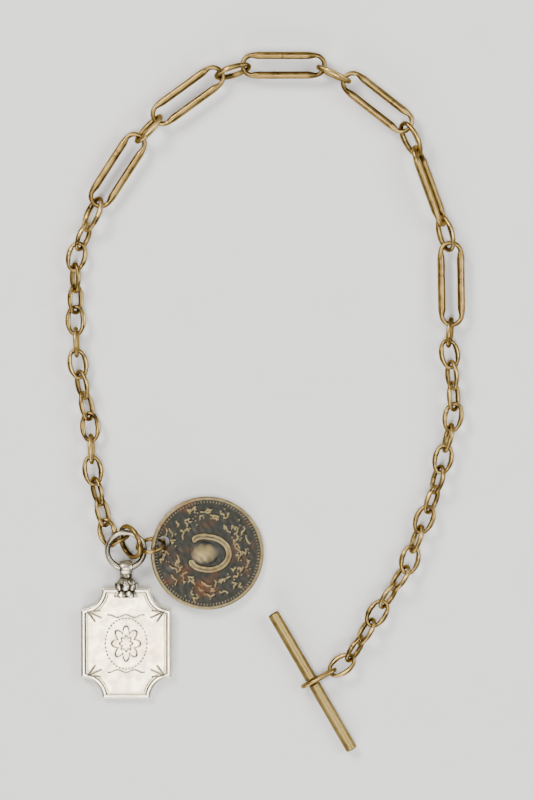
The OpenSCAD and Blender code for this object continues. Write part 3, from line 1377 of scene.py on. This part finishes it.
    def _relief(self, x: Array, y: Array) -> tuple[Array, Array]:
        """Height of the obverse above its field, and how bright it is rubbed.

        Args:
            x: Place across the coin.
            y: Place up the coin.

        Returns:
            Height above the field and relief share.
        """
        radius, angle = np.hypot(x, y), np.arctan2(y, x)
        edge = self.diameter / 2
        bead = (0.5 + 0.5 * np.cos(self.beads * angle)) * ease(edge - 1.75, edge - 1.45, radius)
        bead = bead * (1.0 - ease(edge - 1.1, edge - 0.8, radius))
        shoe = self._nearest(x, y, self._shoe()) / (self.shoe_wire / 2)
        groove = 1.0 - self.shoe_groove * ridge(shoe, 0.45)
        tube = np.clip(1.0 - shoe**4, 0.0, 1.0) ** 0.5 * groove
        boss = np.hypot((x - self.boss_x) / self.boss_half[0], y / self.boss_half[1])
        dome = np.clip(1.0 - boss**2, 0.0, 1.0) ** 0.6
        stroke = ridge(self._nearest(x, y, self._strokes()), self.mark_width)
        random = np.random.default_rng(self.wear_seed)
        worn = np.zeros_like(x)
        for _ in range(self.wear_waves):
            wave = x * random.uniform(-4, 4) + y * random.uniform(-4, 4) + random.uniform(0, 6)
            worn = worn + self.wear_size * np.sin(wave)
        high = self._rim(x, y) + self.bead_high * bead + self.shoe_high * tube
        high = high + self.boss_high * dome + self.mark_high * stroke + worn
        share = self.field_shade + self.mark_shade * stroke + self.shoe_shade * tube
        share = share + self.boss_shade * dome + self.bead_shade * bead
        share = share + self.rim_shade * ease(edge - 1.0, edge - 0.6, radius) + 2.0 * worn
        return high, share

    def build(self, material: Material) -> None:
        """Builds the coin on circles that grow from its hole to its edge.

        Args:
            material: Its bronze.
        """
        x, y = self._circles(self.rows)
        above, share = self._relief(x, y)
        top = self.thickness / 2 - self.field_drop + above - self._lip(x, y)
        low_x, low_y = self._circles(self.back_rows)
        rim = self._rim(low_x, low_y)
        low = self._lip(low_x, low_y) - self.thickness / 2 + self.field_drop - rim
        sides = (np.stack([x, y, top], axis=2), np.stack([low_x, low_y, low], axis=2))
        points = np.concatenate([side.reshape(-1, 3) for side in sides])
        under, columns, last = x.size, self.columns, low_x.size - self.columns
        faces = [f[::-1] for f in MeshMaker.grid_faces(len(x), columns, False, True)]
        faces += MeshMaker.grid_faces(len(low_x), columns, False, True, under)
        for j in range(columns):
            k = (j + 1) % columns
            faces.append((j, k, k + under, j + under))
            edge = under - columns
            faces.append((edge + k, edge + j, under + last + j, under + last + k))
        back = self.back_shade + self.back_rim_shade * rim / self.field_drop
        shade_and_wear = np.concatenate([share.ravel(), back.ravel()])
        made = MeshMaker.make("coin_bronze", self.basis().place(points), faces, shade_and_wear, material)
        MeshMaker.settle(made, "coin", Slot.BRONZE)
        log.info("coin: %d faces", len(faces))

    def basis(self) -> Basis:
        """The coin's frame, from its edge alone, with along towards +X.

        Returns:
            Frame with its origin at the coin's centre.
        """
        rough = Basis.of_node("coin").turned(np.array([1.0, 0.0, 0.0]))
        co = np.array([v.co for v in frame["nodes"]["coin"].data.vertices], float)
        local = (co - rough.origin) @ np.stack([rough.along, rough.across, rough.up]).T
        rim = local[np.hypot(local[:, 0], local[:, 1]) > 0.47 * self.diameter * MM]
        middle = (rim.max(0) + rim.min(0)) / 2
        origin = rough.origin + middle @ np.stack([rough.along, rough.across, rough.up])
        return Basis(origin, rough.along, rough.across, rough.up)


# --------------------------------------------------------------------- studio


@dataclass(frozen=True)
class Lamp:
    """One soft lamp of the studio: where it is, how wide and how strong."""

    name: str
    place: tuple[float, float, float]
    width: float
    power: float
    colour: Colour = (1.0, 1.0, 1.0)

    def build(self, target: Vector) -> None:
        """Hangs the lamp, turned towards the target.

        Args:
            target: Point that it faces.
        """
        lamp = bpy.data.lights.new(self.name, "AREA")
        lamp.energy, lamp.size, lamp.color = self.power, self.width, self.colour
        hung = bpy.data.objects.new(self.name, lamp)
        hung.location = self.place
        hung.rotation_euler = (target - Vector(self.place)).to_track_quat("-Z", "Y").to_euler()
        bpy.context.scene.collection.objects.link(hung)


@dataclass(frozen=True)
class Studio:
    """Camera, floor and lamps, in metres."""

    camera_height: float = 0.9
    camera_x: float = 0.00035
    camera_y: float = 0.00043
    field_height: float = 0.2
    sensor: float = 24.0
    floor_half: float = 1.4
    floor_tones: tuple[Colour, Colour] = ((0.74, 0.74, 0.73), (0.78, 0.78, 0.77))
    floor_grain: float = 60.0
    floor_roughness: float = 0.85
    sky: Colour = (0.5, 0.5, 0.5)
    sky_strength: float = 0.3
    lamps: tuple[Lamp, ...] = (
        Lamp("high_lamp", (-0.1, -0.36, 1.5), 0.45, 15.0, (1.0, 0.98, 0.94)),
        Lamp("key_lamp", (-0.35, 0.42, 0.55), 0.26, 6.0, (1.0, 0.97, 0.92)),
        Lamp("fill_lamp", (0.5, 0.1, 0.5), 0.4, 4.5, (0.93, 0.96, 1.0)),
        Lamp("low_lamp", (-0.1, -0.55, 0.3), 0.3, 3.0),
    )

    def camera(self) -> None:
        """Hangs the camera straight above the chain."""
        lens = bpy.data.cameras.new("camera")
        lens.sensor_fit = "VERTICAL"
        lens.sensor_height = self.sensor
        lens.lens = self.sensor * self.camera_height / self.field_height
        lens.dof.use_dof = False
        camera = bpy.data.objects.new("camera", lens)
        camera.location = (self.camera_x, self.camera_y, self.camera_height)
        bpy.context.scene.collection.objects.link(camera)
        bpy.context.scene.camera = camera

    def floor(self) -> None:
        """Lays the pale floor."""
        h = self.floor_half
        corners = [(-h, -h, 0.0), (h, -h, 0.0), (h, h, 0.0), (-h, h, 0.0)]
        mesh = bpy.data.meshes.new("floor")
        mesh.from_pydata(corners, [], [(0, 1, 2, 3)])
        material = bpy.data.materials.new("pale_paper")
        material.use_nodes = True
        tree = material.node_tree
        shader = tree.nodes["Principled BSDF"]
        noise = tree.nodes.new("ShaderNodeTexNoise")
        noise.inputs["Scale"].default_value = self.floor_grain
        ramp = tree.nodes.new("ShaderNodeValToRGB")
        for stop, tone in zip(ramp.color_ramp.elements, self.floor_tones):
            stop.color = (*tone, 1.0)
        place = tree.nodes.new("ShaderNodeTexCoord")
        tree.links.new(place.outputs["Object"], noise.inputs["Vector"])
        tree.links.new(noise.outputs["Fac"], ramp.inputs["Fac"])
        tree.links.new(ramp.outputs["Color"], shader.inputs["Base Color"])
        shader.inputs["Roughness"].default_value = self.floor_roughness
        mesh.materials.append(material)
        floor = bpy.data.objects.new("floor", mesh)
        bpy.context.scene.collection.objects.link(floor)

    def light(self) -> None:
        """Sets the even sky and hangs the lamps."""
        world = bpy.data.worlds.new("studio")
        world.use_nodes = True
        sky = world.node_tree.nodes["Background"]
        sky.inputs["Color"].default_value = (*self.sky, 1.0)
        sky.inputs["Strength"].default_value = self.sky_strength
        bpy.context.scene.world = world
        for lamp in self.lamps:
            lamp.build(Vector((0.0, 0.0, 0.0)))
        log.info("studio: %d lamps", len(self.lamps))


def main() -> None:
    """Builds the camera, the chain's pieces from the top link outwards, and the studio."""
    logging.basicConfig(level=logging.INFO, format="%(name)s %(message)s")
    studio = Studio()
    studio.camera()
    brass, dull_brass, bronze = BRASS.build(), DULL_BRASS.build(), BRONZE.build()
    silver, old_silver = SILVER.build(), OLD_SILVER.build()
    finish = {Slot.BRASS.value: brass, Slot.SILVER.value: silver, Slot.BRONZE.value: bronze}
    slots = {part["node"]: part["material_slot"] for part in frame["record"]["subparts"]}
    for node, shown in frame["nodes"].items():
        shown.data.materials.clear()
        shown.data.materials.append(finish[slots[node]])
    ChainLinks().build(brass)
    Rings().build(brass, old_silver)
    TBar().build(dull_brass)
    Plate().build(silver)
    eye = next(j for j in frame["joints"] if j["child"] == "fob")["pos_m"]
    Collar().build(old_silver, np.array(eye), Plate.basis())
    Coin().build(bronze)
    studio.floor()
    studio.light()


if __name__ == "__main__":
    main()
